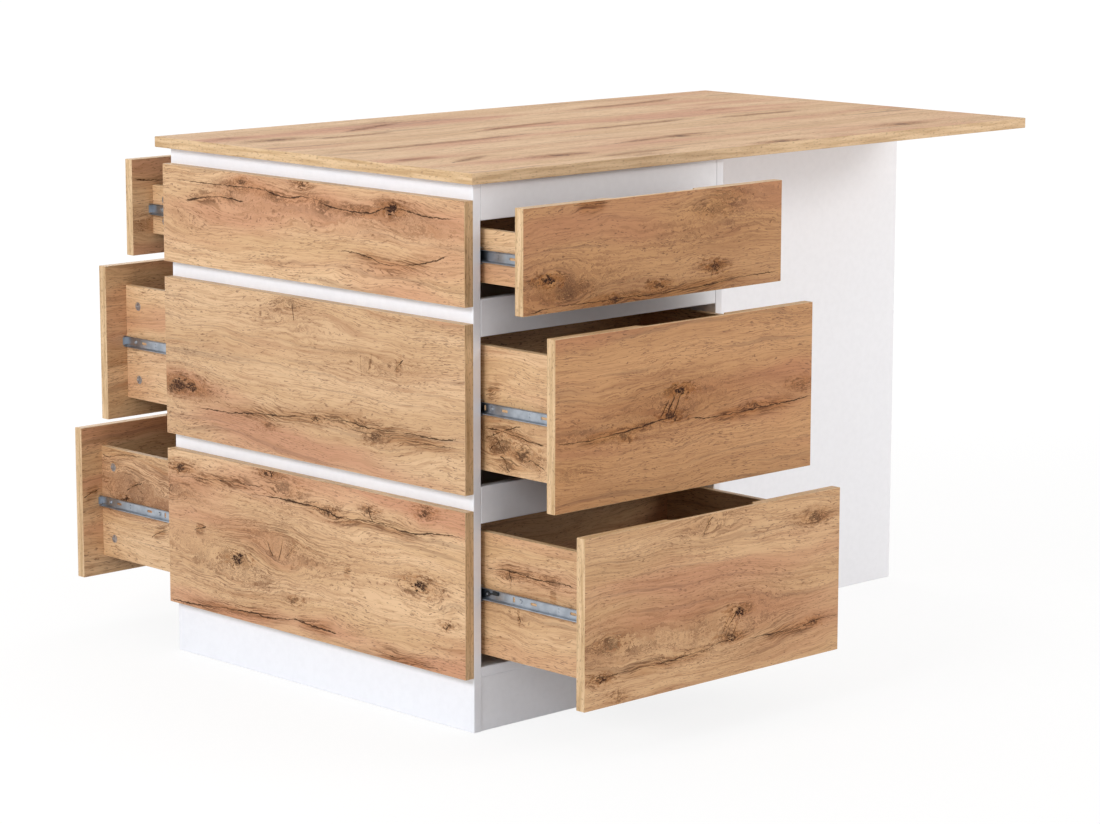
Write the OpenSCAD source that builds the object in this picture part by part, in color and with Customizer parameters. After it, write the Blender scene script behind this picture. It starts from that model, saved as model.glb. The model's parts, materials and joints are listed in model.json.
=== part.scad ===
// Kitchen island: an oak-decor worktop on a white cabinet with six drawers, three on each long side,
// three false fronts on the end face and a support panel under the free part of the worktop.
// X runs along the worktop, from the end with the false fronts to the free end. Z is up.
// The origin is on the floor, under the middle of the worktop. The drawers stand open at rest.

/* [Island] */
// Height of the worktop's upper face above the floor
island_h = 900; // [885:5:950]
// Length of the worktop
worktop_l = 1360; // [1200:10:1600]
// Width of the worktop
worktop_w = 800; // [790:5:1000]
// Thickness of the worktop
worktop_t = 18; // [16:1:28]
// Thickness of the band glued on the worktop's edges
edge_band_t = 1; // [0.5:0.1:2]

/* [Cabinet] */
// Length of the drawer cabinet, along the worktop
cabinet_l = 566; // [500:2:700]
// Thickness of the white boards
board_t = 16; // [15:1:19]
// Height of the rails between the drawers
rail_h = 60; // [46:1:66]
// How far a middle rail's centre lies below the middle of the strip between two fronts
rail_drop = 6; // [0:0.5:8]
// Height of the plinth
plinth_h = 90; // [80:1:100]
// How far the plinth boards stand back from the cabinet's face
plinth_setback = 2; // [0:0.5:30]
// Distance from the cabinet's face back to the support panel
support_setback = 283; // [100:1:360]

/* [Fronts] */
// Thickness of the fronts
front_t = 18; // [16:0.5:20]
// Height of the top fronts. The two rows under them share what is left
top_front_h = 167; // [155:1:183]
// White strip that shows between two fronts, and under the worktop
strip_h = 27; // [22:0.5:31]
// Gap behind a closed drawer front
closed_gap = 1; // [0.5:0.1:3]
// Length of the finger grip routed into the back of a front's top edge
grip_l = 200; // [120:5:300]
// Depth of the grip into the front's thickness
grip_d = 12; // [8:0.5:13]
// Depth of the grip from the top edge down
grip_h = 22; // [15:1:30]
// Radius of the grip's ends
grip_r = 15; // [13:0.5:20]

/* [Drawer boxes] */
// Length of a drawer's box
box_l = 350; // [340:1:358]
// Thickness of the box's sides and back
box_t = 12; // [11:0.5:13]
// Height of the box's lower edge above the lower edge of its front
box_lift = 35; // [32:1:40]
// Free height between the box and the rail over it
box_headroom = 14; // [10:0.5:20]
// Thickness of the drawer's bottom
bottom_t = 3; // [2.5:0.5:5]
// Height of the bottom's groove above the box's lower edge
groove_lift = 12; // [8:1:16]
// Depth of the groove
groove_d = 6; // [4:0.5:7]

/* [Runners] */
// Room that a runner takes between the box and the cabinet
runner_t = 10; // [9.5:0.1:11]
// Height of the member on the cabinet
runner_h = 27; // [25:0.5:30]
// Thickness of its sheet
sheet_t = 1; // [0.8:0.05:1.2]
// Diameter of the balls
ball_d = 3.5; // [3:0.1:3.8]
// Clearance between a ball and its races
ball_gap = 0.15; // [0.05:0.01:0.25]
// Length of the ball cage
cage_l = 96; // [80:1:110]
// Balls in each of a cage's two rows
balls_per_row = 7; // [3:1:8]
// How far the runner's members can be drawn apart
travel = 260; // [255:1:262]
// Height of the runners above the middle of the box's side
runner_rise = 1; // [-3:0.5:3]

/* [Fittings] */
// Diameter of a cam
cam_d = 15; // [12:0.5:16]
// Distance of a cam's centre from the joint
cam_reach = 34; // [24:1:36]
// Distance of the cams from the edges of a large box side
cam_edge_large = 35; // [25:1:60]
// Distance of the cams from the edges of a small box side
cam_edge_small = 24; // [23:0.5:25]
// Diameter of the cams' bolts
bolt_d = 5.8; // [5:0.1:6.5]
// Diameter of the wood screws
screw_d = 3.5; // [3:0.1:4]
// Clearance round cams, bolts and screws
fit_gap = 0.1; // [0.05:0.01:0.2]

/* [Drawers stand open by] */
// Upper drawer on the right
open_right_top = 113; // [0:1:250]
// Middle drawer on the right
open_right_middle = 184; // [0:1:250]
// Lower drawer on the right
open_right_bottom = 250; // [0:1:250]
// Upper drawer on the left
open_left_top = 86; // [0:1:250]
// Middle drawer on the left
open_left_middle = 168; // [0:1:250]
// Lower drawer on the left
open_left_bottom = 250; // [0:1:250]

/* [Hidden] */
$fn = 64;

// The banks open towards -Y, the photograph's right, and +Y, its left
right = -1;
left = 1;
bank_names = ["right", "left"];
level_names = ["bottom", "middle", "top"];
levels = [0, 1, 2];
drawer_pieces = ["front", "left_side", "right_side", "back", "bottom_panel", "fittings", "ball_cages"];
open_by = [
    [open_right_bottom, open_right_middle, open_right_top],
    [open_left_bottom, open_left_middle, open_left_top]
];

// Carcass
overhang = front_t + closed_gap;
face_y = worktop_w / 2 - overhang;
cabinet_x0 = -worktop_l / 2 + overhang;
cabinet_x1 = cabinet_x0 + cabinet_l;
bay_x0 = cabinet_x0 + board_t;
bay_x1 = cabinet_x1 - board_t;
bay_w = bay_x1 - bay_x0;
bay_mid_x = (bay_x0 + bay_x1) / 2;
underside = island_h - worktop_t;
support_y0 = -face_y + support_setback;

// Fronts and what lies behind them, from the lowest level up
front_x0 = cabinet_x0 - front_t;
front_x1 = cabinet_x1;
large_front_h = (underside - plinth_h - top_front_h - 3 * strip_h) / 2;
front_pitch = large_front_h + strip_h;
front_z = [for (i = levels) plinth_h + i * front_pitch];
front_h = [large_front_h, large_front_h, top_front_h];
middle_rail_z = [for (i = [0, 1]) front_z[i] + large_front_h + strip_h / 2 - rail_drop - rail_h / 2];
opening_top = [middle_rail_z[0], middle_rail_z[1], underside - rail_h];
box_z = [for (i = levels) front_z[i] + box_lift];
box_h = [for (i = levels) opening_top[i] - box_headroom - box_z[i]];
box_w = bay_w - 2 * runner_t;
runner_rel_z = [for (i = levels) box_h[i] / 2 + runner_rise];
cam_edge = [cam_edge_large, cam_edge_large, cam_edge_small];

// Runner section: w runs from the cabinet's board to the box, the height is measured from the middle
runner_setback = 2;
ball_r = ball_d / 2;
race_r = ball_r + ball_gap;
run_gap = 0.2;
bend_r = 0.6;
lip_angle = 20;
cage_t = 0.45;
cage_w0 = sheet_t + run_gap;
ball_w = cage_w0 + cage_t + run_gap + (race_r + sheet_t) * cos(lip_angle);
ball_z = runner_h / 2 - sheet_t - race_r;
member_half_h = ball_z - race_r;
cage_w1 = ball_w + race_r + 0.7;
cage_hole_r = ball_r + 0.1;
cage_end_gap = 2;
end_tab_h = 13;
runner_holes = [35, 163, 310];
runner_slots = [75, 230];
member_screws = [26, 169, 320];
member_slots = [51, 140, 290];
upright_slots = [185, 335];
slot_l = 14;
slot_w = 4.5;
upright_slot_l = 9;
dimple_y = 84;
dimple_r = 1.2;
dimple_rise = 0.8;
lever_y = 244;
lever_t = 2.4;
lever_boss_r = 4.5;
lever_arm_r = 30;
lever_arm_t = 3;
lever_pad_y = -24;
rivet_r = 1.5;

// Screws
screw_r = screw_d / 2;
head_r = screw_d;
pan_h = 1.9;
cone_h = 1.8;
runner_screw_l = 11;
member_screw_l = 8;
false_front_screw_l = board_t + 0.75 * front_t;
screw_grip = 30;
support_screw_l = board_t + screw_grip;
back_screw_l = box_t + screw_grip;
bracket_screw_l = 12;
false_front_screw_y = 250;
false_front_screw_inset = [50, 50, 30];
support_screw_places = [0.17, 0.42, 0.77, 0.953];

// Cams
cam_r = cam_d / 2;
box_cam_h = 9.5;
carcass_cam_h = 12.5;
bolt_r = bolt_d / 2;
bolt_hole_r = bolt_r + 1;
box_bolt_l = 11;
carcass_bolt_l = 11;
bottom_cam_inset = 70;
centre_cam_inset = 120;

// Brackets
bracket_l = 20;
bracket_w = 16;
bracket_t = 2;
bracket_y = 150;
bracket_inset = 100;

FIXED = ["worktop", "worktop_edge_band", "end_panel", "inner_side_panel", "centre_panel", "bottom_board",
    "top_rails", "middle_rails", "plinth_boards", "support_panel", "false_front_top",
    "false_front_middle", "false_front_bottom", "cabinet_runners", "cabinet_cams", "cabinet_screws",
    "worktop_brackets"];

function drawer_node(b, l, p) = str(b, "_", l, "_drawer_", p);

white = "#f3f3f6";
oak = "#c99a6b";
oak_edge = "#d9b384";
hardboard = "#6b5040";
zinc = "#aab2bb";

// ---------------------------------------------------------------- shapes

// A box given by its lower and upper corner
module block(lo, hi) {
    translate(lo) cube(hi - lo);
}

// Its profile's x stays x, its y becomes z, and it runs from y = 0 to y = l
module along_y(l) {
    translate([0, l, 0])
        rotate([90, 0, 0])
            linear_extrude(l)
                children();
}

// A cylinder from [0, 0, 0] along +X
module rod_x(r, l) {
    rotate([0, 90, 0]) cylinder(r = r, h = l);
}

// Part of a ring between two angles less than 180 degrees apart
module ring_part(r, t, a0, a1) {
    reach = 3 * (r + t);
    intersection() {
        difference() {
            circle(r + t);
            circle(r);
        }
        polygon([[0, 0], for (a = [a0, (a0 + a1) / 2, a1]) reach * [cos(a), sin(a)]]);
    }
}

// A slot's outline, centred, with round ends along x
module slot_outline(l, w) {
    square([l - w, w], center = true);
    for (s = [-1, 1])
        translate([s * (l - w) / 2, 0]) circle(w / 2);
}

// A countersunk screw or its hole: the head's face is at the origin, the shank runs along +X
module countersunk_screw(l, gap = 0) {
    rotate([0, 90, 0]) cylinder(r1 = head_r + gap, r2 = screw_r + gap, h = cone_h);
    rod_x(screw_r + gap, l + gap);
    if (gap > 0)
        translate([-1, 0, 0]) rod_x(head_r + gap, 1);
}

// A pan head screw: the head's seat is at the origin, the shank runs along +X
module pan_screw(l) {
    translate([-fit_gap, 0, 0]) {
        rod_x(screw_r, l + fit_gap);
        rotate([0, -90, 0])
            difference() {
                cylinder(r1 = head_r, r2 = 0.7 * head_r, h = pan_h);
                translate([0, 0, pan_h - 1]) cross_recess(0.9 * screw_d, 1, 2);
            }
    }
}

module pan_screw_hole(l) {
    translate([-1, 0, 0]) rod_x(screw_r + fit_gap, l + 1 + fit_gap);
}

module cross_recess(l, t, depth) {
    translate([-l / 2, -t / 2, 0]) cube([l, t, depth]);
    translate([-t / 2, -l / 2, 0]) cube([t, l, depth]);
}

// ---------------------------------------------------------------- cam joints
// The joint plane is x = 0. The cam lies in the board on the +X side, whose middle plane is z = 0 and
// which is board thick. The bolt is screwed into the board on the -X side.

module cam_holes(thick, cam_h, bolt_l) {
    translate([-bolt_l - fit_gap, 0, 0]) rod_x(bolt_r + fit_gap, bolt_l + 2 * fit_gap);
    rod_x(bolt_hole_r, cam_reach);
    translate([cam_reach, 0, thick / 2 - cam_h - fit_gap])
        cylinder(r = cam_r + fit_gap, h = cam_h + 2 * fit_gap);
}

module cam_and_bolt(thick, cam_h, bolt_l) {
    bolt_end = cam_reach - 1;
    translate([cam_reach, 0, thick / 2 - cam_h])
        difference() {
            cylinder(r = cam_r, h = cam_h);
            translate([-cam_r - 1, 0, cam_h - thick / 2])
                rod_x(bolt_hole_r, cam_r + 2);
            translate([0, 0, cam_h - 1.5]) cross_recess(0.8 * cam_d, 2, 2);
        }
    translate([-bolt_l, 0, 0]) rod_x(bolt_r, bolt_l + bolt_end);
}

// ---------------------------------------------------------------- carcass

// Cam joints of the carcass: place, the end of the bay that it is at, and the turn that points the cam's
// face inwards or, at the bottom board, down
function end_x(s) = s < 0 ? bay_x0 : bay_x1;
rail_cams = [for (s = [-1, 1], bank = [right, left], z = concat(middle_rail_z, [underside - rail_h]))
    [[end_x(s), bank * (face_y - board_t / 2), z + rail_h / 2], s, bank * 90]];
plinth_cams = [for (s = [-1, 1], bank = [right, left])
    [[end_x(s), bank * (face_y - plinth_setback - board_t / 2), plinth_h / 2], s, bank * 90]];
bottom_cams = [for (s = [-1, 1], bank = [right, left])
    [[end_x(s), bank * (face_y - bottom_cam_inset), plinth_h + board_t / 2], s, 180]];
centre_cams = [for (s = [-1, 1], z = [plinth_h + board_t + centre_cam_inset, underside - centre_cam_inset])
    [[end_x(s), 0, z], s, 90]];
carcass_cams = concat(rail_cams, plinth_cams, bottom_cams, centre_cams);

module at_carcass_cams() {
    for (c = carcass_cams)
        translate(c[0])
            mirror([c[1] < 0 ? 0 : 1, 0, 0])
                rotate([c[2], 0, 0])
                    children();
}

module carcass_cam_cuts() {
    at_carcass_cams() cam_holes(board_t, carcass_cam_h, carcass_bolt_l);
}

// Screws that go from the bay out through the end panel, or through the inner side panel
module at_false_front_screws() {
    for (i = levels, z = [false_front_screw_inset[i], front_h[i] - false_front_screw_inset[i]], s = [-1, 1])
        translate([bay_x0, s * false_front_screw_y, front_z[i] + z])
            rotate([0, 0, 180])
                children();
}

module at_support_screws() {
    for (f = support_screw_places)
        translate([bay_x1, support_y0 + board_t / 2, f * underside]) children();
}

// A runner's own frame: x runs from the cabinet's board to the box, y from the front end inwards
module place_runner(bank, i, s) {
    translate([end_x(s), bank * (face_y - runner_setback), box_z[i] + runner_rel_z[i]])
        mirror([0, bank < 0 ? 0 : 1, 0])
            mirror([s < 0 ? 0 : 1, 0, 0])
                children();
}

// The twelve cabinet members
module at_runners() {
    for (bank = [right, left], i = levels, s = [-1, 1])
        place_runner(bank, i, s) children();
}

module screw_cuts() {
    at_false_front_screws() countersunk_screw(false_front_screw_l, fit_gap);
    at_support_screws() countersunk_screw(support_screw_l, fit_gap);
    at_runners()
        for (y = runner_holes)
            translate([sheet_t, y, 0]) rotate([0, 0, 180]) countersunk_screw(runner_screw_l, fit_gap);
}

// Brackets under the worktop: the corner's place and the way the upright leg faces
brackets = concat(
    [for (s = [-1, 1]) [[bay_x0, s * bracket_y, underside], 0]],
    [for (s = [-1, 1]) [[bay_x1, s * bracket_y, underside], 180]],
    [for (x = [cabinet_x1 + bracket_inset, (cabinet_x1 + worktop_l / 2) / 2, worktop_l / 2 - bracket_inset])
        [[x, support_y0 + board_t, underside], 90]]
);

module at_brackets() {
    for (b = brackets)
        translate(b[0]) rotate([0, 0, b[1]]) children();
}

module at_bracket_screws() {
    mid = (bracket_t + bracket_l) / 2;
    translate([bracket_t, 0, -mid]) rotate([0, 0, 180]) children();
    translate([mid, 0, -bracket_t]) rotate([0, -90, 0]) children();
}

module bracket_cuts() {
    at_brackets() at_bracket_screws() pan_screw_hole(bracket_screw_l);
}

module worktop() {
    band = [edge_band_t, edge_band_t, 0];
    color(oak)
        difference() {
            block([-worktop_l / 2, -worktop_w / 2, underside] + band,
                [worktop_l / 2, worktop_w / 2, island_h] - band);
            bracket_cuts();
        }
}

module worktop_edge_band() {
    x = worktop_l / 2;
    y = worktop_w / 2;
    color(oak_edge) {
        for (s = [0, 1]) {
            mirror([0, s, 0]) block([-x, -y, underside], [x, -y + edge_band_t, island_h]);
            mirror([s, 0, 0])
                block([-x, -y + edge_band_t, underside], [-x + edge_band_t, y - edge_band_t, island_h]);
        }
    }
}

module end_panel() {
    color(white)
        difference() {
            block([cabinet_x0, -face_y, 0], [bay_x0, face_y, underside]);
            carcass_cam_cuts();
            screw_cuts();
            bracket_cuts();
        }
}

module inner_side_panel() {
    color(white)
        difference() {
            block([bay_x1, -face_y, 0], [cabinet_x1, face_y, underside]);
            carcass_cam_cuts();
            screw_cuts();
            bracket_cuts();
        }
}

module centre_panel() {
    color(white)
        difference() {
            block([bay_x0, -board_t / 2, plinth_h + board_t], [bay_x1, board_t / 2, underside]);
            carcass_cam_cuts();
        }
}

module bottom_board() {
    color(white)
        difference() {
            block([bay_x0, -face_y, plinth_h], [bay_x1, face_y, plinth_h + board_t]);
            carcass_cam_cuts();
        }
}

// One rail or plinth board on each long side
module pair_of_rails(z, h, setback) {
    color(white)
        difference() {
            for (s = [0, 1])
                mirror([0, s, 0])
                    block([bay_x0, -face_y + setback, z], [bay_x1, -face_y + setback + board_t, z + h]);
            carcass_cam_cuts();
        }
}

module top_rails() {
    pair_of_rails(underside - rail_h, rail_h, 0);
}

module middle_rails() {
    for (z = middle_rail_z)
        pair_of_rails(z, rail_h, 0);
}

module plinth_boards() {
    pair_of_rails(0, plinth_h, plinth_setback);
}

module support_panel() {
    color(white)
        difference() {
            block([cabinet_x1, support_y0, 0], [worktop_l / 2, support_y0 + board_t, underside]);
            at_support_screws() countersunk_screw(support_screw_l, fit_gap);
            bracket_cuts();
        }
}

module false_front(i) {
    color(oak)
        difference() {
            block([front_x0, -face_y, front_z[i]], [cabinet_x0, face_y, front_z[i] + front_h[i]]);
            at_false_front_screws() countersunk_screw(false_front_screw_l, fit_gap);
        }
}

module cabinet_cams() {
    color(zinc) at_carcass_cams() cam_and_bolt(board_t, carcass_cam_h, carcass_bolt_l);
}

module cabinet_screws() {
    color(zinc) {
        at_false_front_screws() countersunk_screw(false_front_screw_l);
        at_support_screws() countersunk_screw(support_screw_l);
        at_runners()
            for (y = runner_holes)
                translate([sheet_t, y, 0]) rotate([0, 0, 180]) countersunk_screw(runner_screw_l);
    }
}

// Each bracket with its two screws
module worktop_brackets() {
    color(zinc)
        at_brackets() {
            difference() {
                union() {
                    translate([0, -bracket_w / 2, -bracket_l]) cube([bracket_t, bracket_w, bracket_l]);
                    translate([0, -bracket_w / 2, -bracket_t]) cube([bracket_l, bracket_w, bracket_t]);
                }
                at_bracket_screws() pan_screw_hole(bracket_screw_l);
            }
            at_bracket_screws() pan_screw(bracket_screw_l);
        }
}

// ---------------------------------------------------------------- runners

// Upper and lower half of a section are alike
module both_halves() {
    for (s = [0, 1])
        mirror([0, s]) children();
}

module cabinet_member_section() {
    corner = sheet_t + bend_r;
    translate([0, corner - runner_h / 2]) square([sheet_t, runner_h - 2 * corner]);
    both_halves() {
        translate([corner, runner_h / 2 - corner]) ring_part(bend_r, sheet_t, 90, 180);
        translate([corner, runner_h / 2 - sheet_t]) square([ball_w - corner, sheet_t]);
        translate([ball_w, ball_z]) ring_part(race_r, sheet_t, lip_angle, 90);
    }
}

module drawer_member_section() {
    corner = sheet_t + bend_r;
    translate([runner_t - sheet_t, corner - member_half_h])
        square([sheet_t, 2 * (member_half_h - corner)]);
    both_halves() {
        translate([runner_t - corner, member_half_h - corner]) ring_part(bend_r, sheet_t, 0, 90);
        translate([ball_w, member_half_h - sheet_t]) square([runner_t - corner - ball_w, sheet_t]);
        translate([ball_w, ball_z]) ring_part(race_r, sheet_t, 180 + lip_angle, 270);
    }
}

// Ends in a tab that stops the drawer's member when the drawer is shut
module cabinet_member() {
    difference() {
        along_y(box_l) cabinet_member_section();
        for (y = runner_holes)
            translate([sheet_t, y, 0]) rotate([0, 0, 180]) countersunk_screw(runner_screw_l, fit_gap);
        for (y = runner_slots)
            translate([-1, y, 0])
                rotate([0, 90, 0]) rotate(90) linear_extrude(3) slot_outline(slot_l, slot_w);
    }
    translate([sheet_t, box_l - sheet_t, -end_tab_h / 2]) cube([0.5 * runner_t, sheet_t, end_tab_h]);
}

module cabinet_runners() {
    color(zinc) at_runners() cabinet_member();
}

// The member on the drawer. A tab is bent out at its front end.
module drawer_member() {
    web_w = runner_t - sheet_t - 1;
    difference() {
        along_y(box_l) drawer_member_section();
        for (y = member_screws)
            translate([web_w, y, 0]) rod_x(screw_r + fit_gap, 3);
        for (y = member_slots)
            translate([web_w, y, 0])
                rotate([0, 90, 0]) rotate(90) linear_extrude(3) slot_outline(slot_l, slot_w);
        for (y = upright_slots)
            translate([web_w, y, 0])
                rotate([0, 90, 0]) linear_extrude(3) slot_outline(upright_slot_l, slot_w);
        translate([web_w, lever_y, 0]) rod_x(rivet_r + fit_gap, 3);
    }
    translate([1, 0, -end_tab_h / 2]) cube([runner_t - 1, sheet_t, end_tab_h]);
    // Stamped dimples that stop the cage
    for (s = [-1, 1])
        translate([runner_t - sheet_t - dimple_rise, dimple_y, s * 2 * dimple_r])
            rod_x(dimple_r, dimple_rise + 0.2);
}

// Black plastic lever on the drawer's member, with a curved arm and a finger pad, on its rivet
module release_lever() {
    pad = [12, 6];
    w = runner_t - sheet_t - lever_t - fit_gap;
    difference() {
        translate([w, lever_y, 0])
            rotate([0, 90, 0])
                rotate(90)
                    linear_extrude(lever_t) {
                        circle(lever_boss_r);
                        translate([0, lever_arm_r])
                            ring_part(lever_arm_r - lever_arm_t / 2, lever_arm_t, 245, 270);
                        translate([lever_pad_y, 0]) square(pad);
                    }
        translate([w - 1, lever_y, 0]) rod_x(rivet_r + fit_gap, lever_t + 2);
    }
    translate([w - 0.5, lever_y, 0]) rod_x(rivet_r, lever_t + fit_gap + 0.5 + sheet_t);
}

// Strip with two rows of holes, and its balls
module ball_cage() {
    pitch = cage_l / balls_per_row;
    rows = [for (s = [-1, 1], k = [0 : balls_per_row - 1]) [ball_w, (k + 0.5) * pitch, s * ball_z]];
    half_h = ball_z + cage_t / 2;
    difference() {
        along_y(cage_l) {
            translate([cage_w0, -half_h]) square([cage_t, 2 * half_h]);
            both_halves() translate([cage_w0, half_h - cage_t]) square([cage_w1 - cage_w0, cage_t]);
        }
        for (p = rows)
            translate(p - [0, 0, 1]) cylinder(r = cage_hole_r, h = 2);
        for (k = [1, 2])
            translate([cage_w0 - 1, k * cage_l / 3, 0])
                rotate([0, 90, 0]) rotate(90) linear_extrude(2) slot_outline(20, 7);
    }
    for (p = rows)
        translate(p) sphere(ball_r);
}

// ---------------------------------------------------------------- drawers
// A drawer is drawn as seen from its front: x to the right, y into the cabinet, z up. The origin is the
// middle of the box's lower front edge, on the back of the front.

function bank_index(bank) = bank == right ? 0 : 1;

module place_drawer(bank, i) {
    y = face_y + closed_gap + open_by[bank_index(bank)][i];
    translate([bay_mid_x, bank * y, box_z[i]])
        rotate([0, 0, bank == right ? 0 : 180])
            children();
}

// Places the left one as drawn and the right one mirrored, from the box's middle
module on_sides(sides = [-1, 1]) {
    for (s = sides)
        mirror([s < 0 ? 0 : 1, 0, 0]) children();
}

// Cam joints between the front and a side, with the cams on the outer face of the right-hand side and
// on the inner face of the left-hand side, because both sides are the same board
module at_box_cams(i, sides = [-1, 1]) {
    for (s = sides, z = [cam_edge[i], box_h[i] - cam_edge[i]])
        translate([s * (box_w - box_t) / 2, 0, z])
            rotate([0, 0, 90])
                rotate([90, 0, 0])
                    children();
}

module at_back_screws(i) {
    for (z = [cam_edge[i], box_h[i] - cam_edge[i]])
        translate([-box_w / 2, box_l - box_t / 2, z]) children();
}

module at_member_screws(i) {
    for (y = member_screws)
        translate([-box_w / 2 - sheet_t, y, runner_rel_z[i]]) children();
}

// The bottom, which also cuts its own groove
module box_bottom() {
    translate([-box_w / 2 + box_t - groove_d, -groove_d, groove_lift])
        cube([box_w - 2 * box_t + 2 * groove_d, box_l - box_t + 2 * groove_d, bottom_t]);
}

// The grip's pocket, with round ends, open to the back and the top
module grip_pocket(x_mid, top) {
    flat_l = grip_l - 2 * grip_r;
    translate([x_mid, 0, top - grip_h])
        linear_extrude(grip_h + 1) {
            translate([-flat_l / 2, -grip_d]) square([flat_l, grip_d + 1]);
            intersection() {
                for (s = [-1, 1])
                    translate([s * flat_l / 2, grip_r - grip_d]) circle(grip_r);
                translate([-grip_l / 2, -grip_d]) square([grip_l, grip_d + 1]);
            }
        }
}

module drawer_front(bank, i) {
    x = [front_x0 - bay_mid_x, front_x1 - bay_mid_x];
    x0 = bank == right ? x[0] : -x[1];
    x1 = bank == right ? x[1] : -x[0];
    color(oak)
        place_drawer(bank, i)
            difference() {
                block([x0, -front_t, -box_lift], [x1, 0, front_h[i] - box_lift]);
                grip_pocket((x0 + x1) / 2, front_h[i] - box_lift);
                box_bottom();
                at_box_cams(i) cam_holes(box_t, box_cam_h, box_bolt_l);
            }
}

module box_side(bank, i, s) {
    color(oak)
        place_drawer(bank, i)
            difference() {
                translate([s < 0 ? -box_w / 2 : box_w / 2 - box_t, 0, 0]) cube([box_t, box_l, box_h[i]]);
                box_bottom();
                at_box_cams(i, [s]) cam_holes(box_t, box_cam_h, box_bolt_l);
                on_sides([s]) at_back_screws(i) countersunk_screw(back_screw_l, fit_gap);
                on_sides([s]) at_member_screws(i) pan_screw_hole(member_screw_l);
            }
}

module box_back(bank, i) {
    color(oak)
        place_drawer(bank, i)
            difference() {
                translate([-box_w / 2 + box_t, box_l - box_t, 0])
                    cube([box_w - 2 * box_t, box_t, box_h[i]]);
                box_bottom();
                on_sides() at_back_screws(i) countersunk_screw(back_screw_l, fit_gap);
            }
}

module box_bottom_panel(bank, i) {
    color(hardboard) place_drawer(bank, i) box_bottom();
}

// Runner members with their levers and screws, cams with their bolts, and the back's screws
module box_fittings(bank, i) {
    color(zinc)
        place_drawer(bank, i) {
            on_sides() {
                translate([-bay_w / 2, 0, runner_rel_z[i]]) {
                    drawer_member();
                    release_lever();
                }
                at_member_screws(i) pan_screw(member_screw_l);
                at_back_screws(i) countersunk_screw(back_screw_l);
            }
            at_box_cams(i) cam_and_bolt(box_t, box_cam_h, box_bolt_l);
        }
}

// The cages have gone half as far out as the drawer
module box_ball_cages(bank, i) {
    cage_y = cage_end_gap + travel / 2 - open_by[bank_index(bank)][i] / 2;
    color(zinc)
        for (s = [-1, 1])
            place_runner(bank, i, s) translate([0, cage_y, 0]) ball_cage();
}

module drawer_piece(bank, i, piece) {
    if (piece == "front") drawer_front(bank, i);
    if (piece == "left_side") box_side(bank, i, -1);
    if (piece == "right_side") box_side(bank, i, 1);
    if (piece == "back") box_back(bank, i);
    if (piece == "bottom_panel") box_bottom_panel(bank, i);
    if (piece == "fittings") box_fittings(bank, i);
    if (piece == "ball_cages") box_ball_cages(bank, i);
}

worktop();
worktop_edge_band();
end_panel();
inner_side_panel();
centre_panel();
bottom_board();
top_rails();
middle_rails();
plinth_boards();
support_panel();
false_front(2);  // false_front_top
false_front(1);  // false_front_middle
false_front(0);  // false_front_bottom
cabinet_runners();
cabinet_cams();
cabinet_screws();
worktop_brackets();
for (b = [right, left], i = levels, piece = drawer_pieces)
    drawer_piece(b, i, piece);
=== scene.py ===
"""Kitchen island: oak-decor worktop, white cabinet, six open drawers on ball runners."""

import json
import math

import bmesh
import bpy
from mathutils import Matrix, Vector

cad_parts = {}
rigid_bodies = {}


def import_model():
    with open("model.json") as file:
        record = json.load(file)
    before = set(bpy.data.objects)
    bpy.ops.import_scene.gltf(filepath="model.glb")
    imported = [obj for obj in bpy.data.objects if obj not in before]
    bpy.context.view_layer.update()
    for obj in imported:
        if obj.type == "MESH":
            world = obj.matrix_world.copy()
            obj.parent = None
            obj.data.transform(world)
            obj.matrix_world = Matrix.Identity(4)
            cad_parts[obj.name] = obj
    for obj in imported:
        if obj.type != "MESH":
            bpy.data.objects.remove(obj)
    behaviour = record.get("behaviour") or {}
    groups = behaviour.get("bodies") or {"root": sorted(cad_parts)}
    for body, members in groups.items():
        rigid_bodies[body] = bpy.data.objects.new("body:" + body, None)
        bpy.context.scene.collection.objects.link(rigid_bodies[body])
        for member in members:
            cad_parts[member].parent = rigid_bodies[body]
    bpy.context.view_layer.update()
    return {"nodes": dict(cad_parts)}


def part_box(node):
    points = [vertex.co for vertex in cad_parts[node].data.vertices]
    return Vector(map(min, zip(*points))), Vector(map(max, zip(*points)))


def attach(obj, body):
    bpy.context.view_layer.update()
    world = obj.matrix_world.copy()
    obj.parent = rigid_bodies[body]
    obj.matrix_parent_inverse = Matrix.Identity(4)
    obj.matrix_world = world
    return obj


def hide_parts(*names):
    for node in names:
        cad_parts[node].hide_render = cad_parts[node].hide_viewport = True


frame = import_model()

# ------------------------------------------------------------------ camera
# The photograph was taken from 1.5 m above the floor, off the corner between the false fronts and the
# right-hand drawers, with a long lens. Its verticals hardly converge, so the frame isn't shifted.

PHOTO_WIDTH = 1100
SENSOR_MM = 36.0
FOCAL_PX = 3475.7

camera_data = bpy.data.cameras.new("camera")
camera_data.sensor_width = SENSOR_MM
camera_data.lens = FOCAL_PX * SENSOR_MM / PHOTO_WIDTH
camera_data.clip_end = 50
camera = bpy.data.objects.new("camera", camera_data)
bpy.context.scene.collection.objects.link(camera)
bpy.context.scene.camera = camera

camera_at = Vector((-4.2968, -4.3347, 1.482))
yaw, pitch, roll = math.radians(46.117), math.radians(-10.14), math.radians(0.09)
sight = Vector((math.cos(pitch) * math.cos(yaw), math.cos(pitch) * math.sin(yaw), math.sin(pitch)))
turn = sight.to_track_quat("-Z", "Y").to_matrix().to_4x4()
camera.matrix_world = Matrix.Translation(camera_at) @ turn @ Matrix.Rotation(roll, 4, "Z")

# ------------------------------------------------------------------ worktop
# An 18 mm particle board with a printed oak decor on both faces, pressed with a light pore, and a
# 1 mm printed plastic band ironed onto its four edges. The band is yellower than the decor, and its
# print shows fine dark pores.

MM = 0.001


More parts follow.
